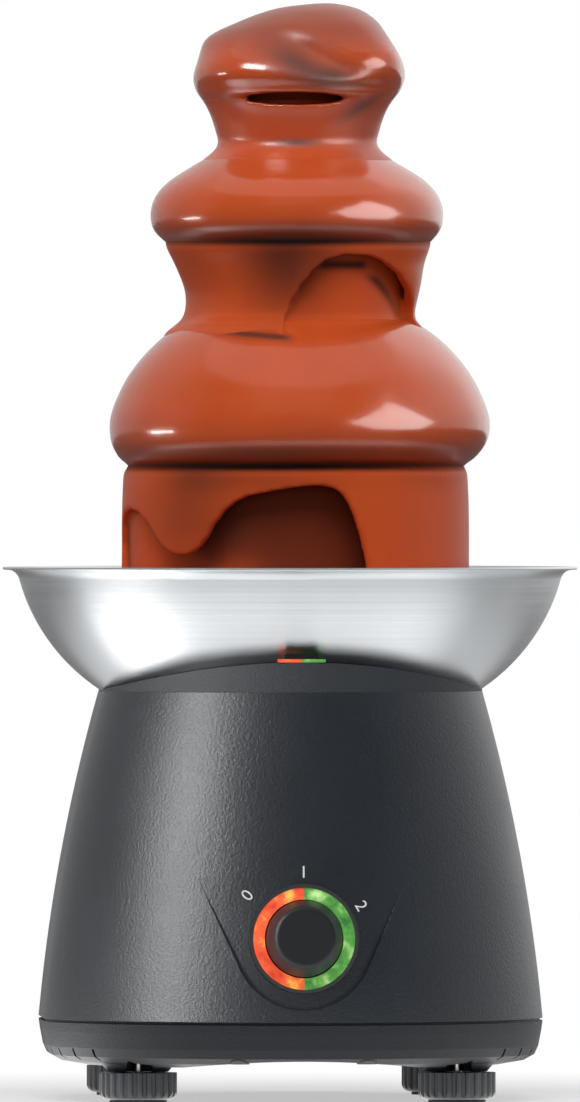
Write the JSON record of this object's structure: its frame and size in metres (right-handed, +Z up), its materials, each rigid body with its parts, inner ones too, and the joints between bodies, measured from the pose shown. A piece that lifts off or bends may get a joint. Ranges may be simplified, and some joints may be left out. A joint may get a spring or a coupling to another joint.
{
  "type": "chocolate fountain",
  "caption": "Table-top chocolate fountain: a steel bowl on an oval charcoal base, a tiered tower with an auger, molten chocolate, a turning dial and levelling feet.",
  "frame": {"origin": "on the table under the axis of the tower, at the middle of the base", "axes": "+Z up along the tower and the auger, -Y to the front where the dial is, +X to the right seen from the front"},
  "size_m": [0.2012, 0.2337, 0.3836],
  "materials": {
    "rubber_sole": "matt grey",
    "wheel_plastic": "satin black",
    "screw_steel": "bright zinc",
    "insert_brass": "turned",
    "housing_plastic": "fine textured charcoal",
    "cover_plastic": "fine textured charcoal",
    "trim_plastic": "satin black",
    "lens_red": "translucent",
    "lens_green": "translucent",
    "switch_body": "moulded",
    "sheet_steel": "galvanised",
    "core_steel": "laminated",
    "winding": "varnished wire",
    "gear_plastic": "natural",
    "bowl_steel": "satin inside and out with a polished lip",
    "plate_aluminium": "cast",
    "element_steel": "dark oxide",
    "sensor": "moulded",
    "fuse_ceramic": "glazed",
    "seal_rubber": "soft",
    "tower_plastic": "food grade moulding, coated in chocolate",
    "chocolate": "glossy molten"
  },
  "bodies": {
    "base": {"foot_inserts": "insert_brass", "bottom_cover": "housing_plastic", "main_housing": "housing_plastic", "housing_screws": "screw_steel", "cord_gland": "trim_plastic", "top_cover": "cover_plastic", "lamp_hood": "trim_plastic", "lamp_lens_red": "lens_red", "lamp_lens_green": "lens_green", "dial_bezel": "trim_plastic", "dial_ring_red": "lens_red", "dial_ring_green": "lens_green", "switch_nut": "screw_steel", "rotary_switch": "switch_body", "motor_bracket": "sheet_steel", "bracket_screws": "screw_steel", "motor_stator": "core_steel", "motor_coil": "winding", "motor_frame": "sheet_steel", "gearbox_housing": "gear_plastic", "gearbox_cover": "gear_plastic", "idler_pin": "screw_steel", "bowl": "bowl_steel", "heater_plate": "plate_aluminium", "heating_element": "element_steel", "thermostat": "sensor", "thermal_fuse": "fuse_ceramic", "shaft_bush": "switch_body", "shaft_seal": "seal_rubber", "bush_nut": "switch_body", "tower_seat": "tower_plastic", "chocolate_pool": "chocolate"},
    "dial": {"knob": "trim_plastic", "switch_shaft": "screw_steel"},
    "motor": {"motor_rotor": "sheet_steel", "motor_pinion": "insert_brass"},
    "idler": {"idler_gear": "gear_plastic"},
    "auger": {"output_gear": "gear_plastic", "output_shaft": "screw_steel", "auger_core": "tower_plastic", "auger_flight": "tower_plastic"},
    "tower": {"tower_tube": "tower_plastic", "lower_tier": "tower_plastic", "middle_tier": "tower_plastic", "crown": "tower_plastic", "chocolate_lower": "chocolate", "chocolate_middle": "chocolate", "chocolate_cap": "chocolate"},
    "foot_fl_pad": {"foot_sole_fl": "rubber_sole"},
    "foot_fl_wheel": {"foot_wheel_fl": "wheel_plastic", "foot_screw_fl": "screw_steel"},
    "foot_fr_pad": {"foot_sole_fr": "rubber_sole"},
    "foot_fr_wheel": {"foot_wheel_fr": "wheel_plastic", "foot_screw_fr": "screw_steel"},
    "foot_bl_pad": {"foot_sole_bl": "rubber_sole"},
    "foot_bl_wheel": {"foot_wheel_bl": "wheel_plastic", "foot_screw_bl": "screw_steel"},
    "foot_br_pad": {"foot_sole_br": "rubber_sole"},
    "foot_br_wheel": {"foot_wheel_br": "wheel_plastic", "foot_screw_br": "screw_steel"}
  },
  "joints": [
    {"name": "knob_turn", "type": "hinge", "parent": "base", "child": "dial", "pos_m": [0, -0.09862, 0.0575], "axis": [0, -0.9981, 0.061], "range_deg": [-50, 50]},
    {"name": "motor_spin", "type": "hinge", "parent": "base", "child": "motor", "pos_m": [0, 0.03495, 0], "axis": [0, 0, 1], "continuous": true},
    {"name": "idler_spin", "type": "hinge", "parent": "base", "child": "idler", "pos_m": [0.02758, 0.02314, 0], "axis": [0, 0, 1], "continuous": true},
    {"name": "auger_spin", "type": "hinge", "parent": "base", "child": "auger", "pos_m": [0, 0, 0], "axis": [0, 0, 1], "continuous": true},
    {"name": "tower_lift", "type": "slide", "parent": "base", "child": "tower", "axis": [0, 0, 1], "range_m": [0, 0.215]},
    {"name": "foot_fl_height", "type": "slide", "parent": "base", "child": "foot_fl_pad", "axis": [0, 0, -1], "range_m": [0, 0.005]},
    {"name": "foot_fl_turn", "type": "hinge", "parent": "foot_fl_pad", "child": "foot_fl_wheel", "pos_m": [-0.0555, -0.056, 0], "axis": [0, 0, 1], "range_deg": [0, 1800]},
    {"name": "foot_fr_height", "type": "slide", "parent": "base", "child": "foot_fr_pad", "axis": [0, 0, -1], "range_m": [0, 0.005]},
    {"name": "foot_fr_turn", "type": "hinge", "parent": "foot_fr_pad", "child": "foot_fr_wheel", "pos_m": [0.0555, -0.056, 0], "axis": [0, 0, 1], "range_deg": [0, 1800]},
    {"name": "foot_bl_height", "type": "slide", "parent": "base", "child": "foot_bl_pad", "axis": [0, 0, -1], "range_m": [0, 0.005]},
    {"name": "foot_bl_turn", "type": "hinge", "parent": "foot_bl_pad", "child": "foot_bl_wheel", "pos_m": [-0.0555, 0.056, 0], "axis": [0, 0, 1], "range_deg": [0, 1800]},
    {"name": "foot_br_height", "type": "slide", "parent": "base", "child": "foot_br_pad", "axis": [0, 0, -1], "range_m": [0, 0.005]},
    {"name": "foot_br_turn", "type": "hinge", "parent": "foot_br_pad", "child": "foot_br_wheel", "pos_m": [0.0555, 0.056, 0], "axis": [0, 0, 1], "range_deg": [0, 1800]}
  ],
  "couplings": [
    {"joint": "idler_spin", "follows": "motor_spin", "ratio": -0.25},
    {"joint": "auger_spin", "follows": "motor_spin", "ratio": 0.05},
    {"joint": "foot_fl_turn", "follows": "foot_fl_height", "rad_per_m": 6283.2},
    {"joint": "foot_fr_turn", "follows": "foot_fr_height", "rad_per_m": 6283.2},
    {"joint": "foot_bl_turn", "follows": "foot_bl_height", "rad_per_m": 6283.2},
    {"joint": "foot_br_turn", "follows": "foot_br_height", "rad_per_m": 6283.2}
  ]
}
